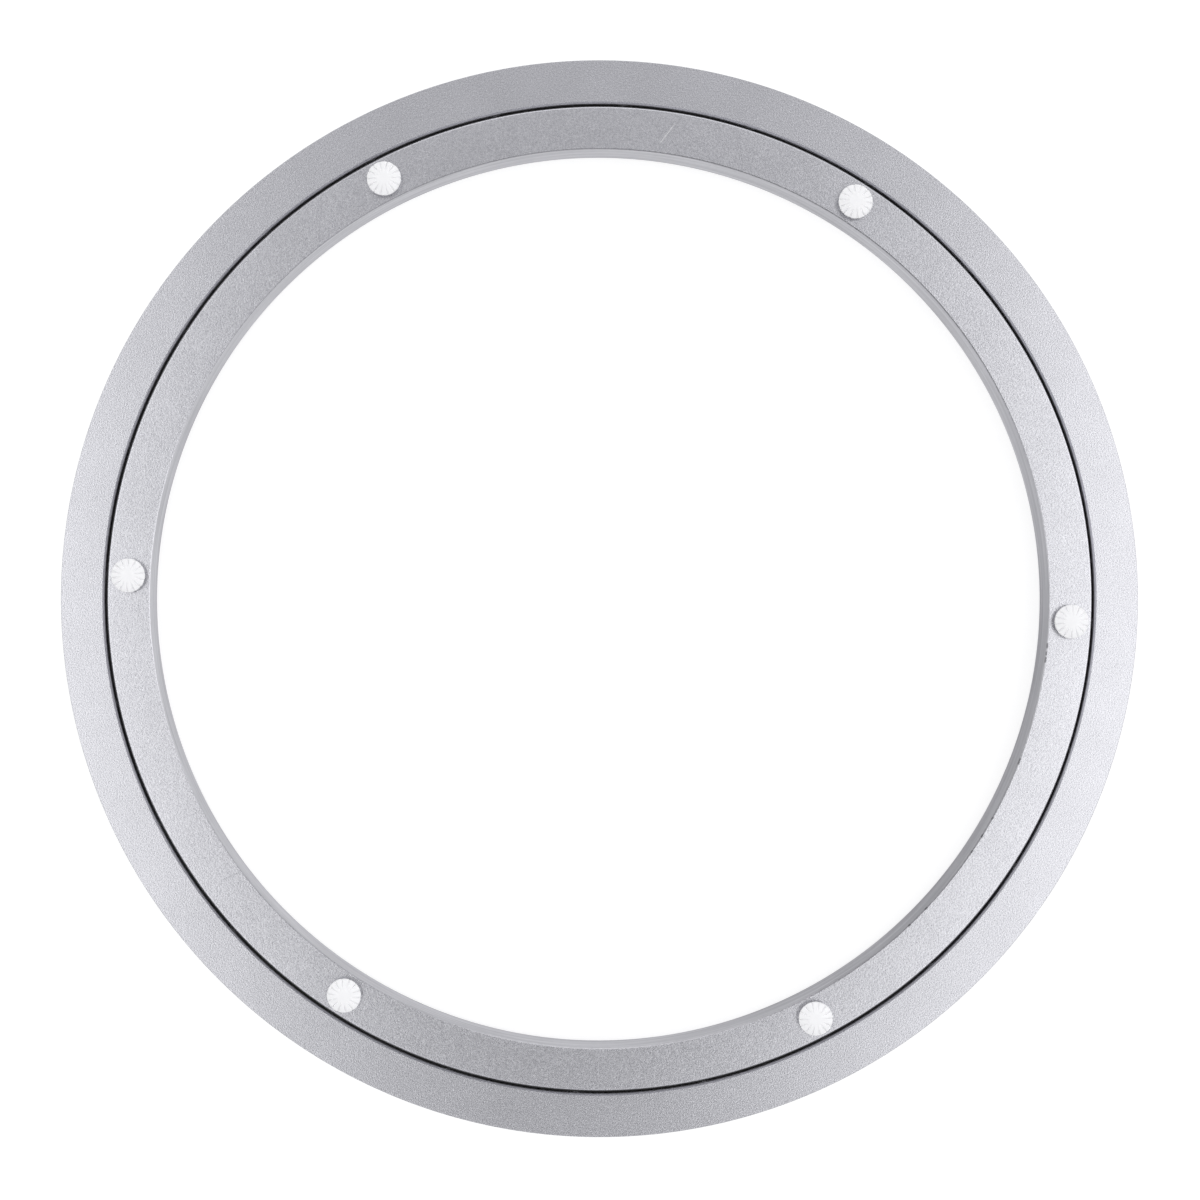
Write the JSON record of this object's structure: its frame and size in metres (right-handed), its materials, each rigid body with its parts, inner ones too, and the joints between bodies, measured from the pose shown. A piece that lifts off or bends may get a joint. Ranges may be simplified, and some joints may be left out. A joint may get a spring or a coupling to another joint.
{
  "type": "lazy susan bearing",
  "caption": "Flat ring-shaped turntable bearing: an inner aluminium ring turns inside an outer one on caged balls, with round pads to carry the top and stand on.",
  "frame": {"origin": "on the bearing's axis, on the plane that the lower pads stand on", "axes": "+Z along the axis of rotation, from the lower pads up to the upper pads; +X towards one upper pad"},
  "size_m": [0.3, 0.3, 0.0158],
  "materials": {
    "blasted_aluminium": "fine blasted and clear anodised, matt silver",
    "black_nylon": "moulded, satin black",
    "bearing_steel": "polished",
    "white_nylon": "moulded, smooth soft white"
  },
  "bodies": {
    "base": {"outer_ring": "blasted_aluminium", "fill_plug": "blasted_aluminium", "bottom_pad_1": "white_nylon", "bottom_pad_2": "white_nylon", "bottom_pad_3": "white_nylon", "bottom_pad_4": "white_nylon", "bottom_pad_5": "white_nylon", "bottom_pad_6": "white_nylon"},
    "turntable": {"inner_ring": "blasted_aluminium", "top_pad_1": "white_nylon", "top_pad_2": "white_nylon", "top_pad_3": "white_nylon", "top_pad_4": "white_nylon", "top_pad_5": "white_nylon", "top_pad_6": "white_nylon"},
    "ball_row": {"ball_cage": "black_nylon", "balls_1": "bearing_steel", "balls_2": "bearing_steel", "balls_3": "bearing_steel", "balls_4": "bearing_steel"}
  },
  "joints": [
    {"name": "ring_spin", "type": "hinge", "parent": "base", "child": "turntable", "pos_m": [0, 0, 0.0079], "axis": [0, 0, 1], "continuous": true},
    {"name": "cage_orbit", "type": "hinge", "parent": "base", "child": "ball_row", "pos_m": [0, 0, 0.0079], "axis": [0, 0, 1], "continuous": true}
  ],
  "couplings": [
    {"joint": "cage_orbit", "follows": "ring_spin", "ratio": 0.4939}
  ]
}
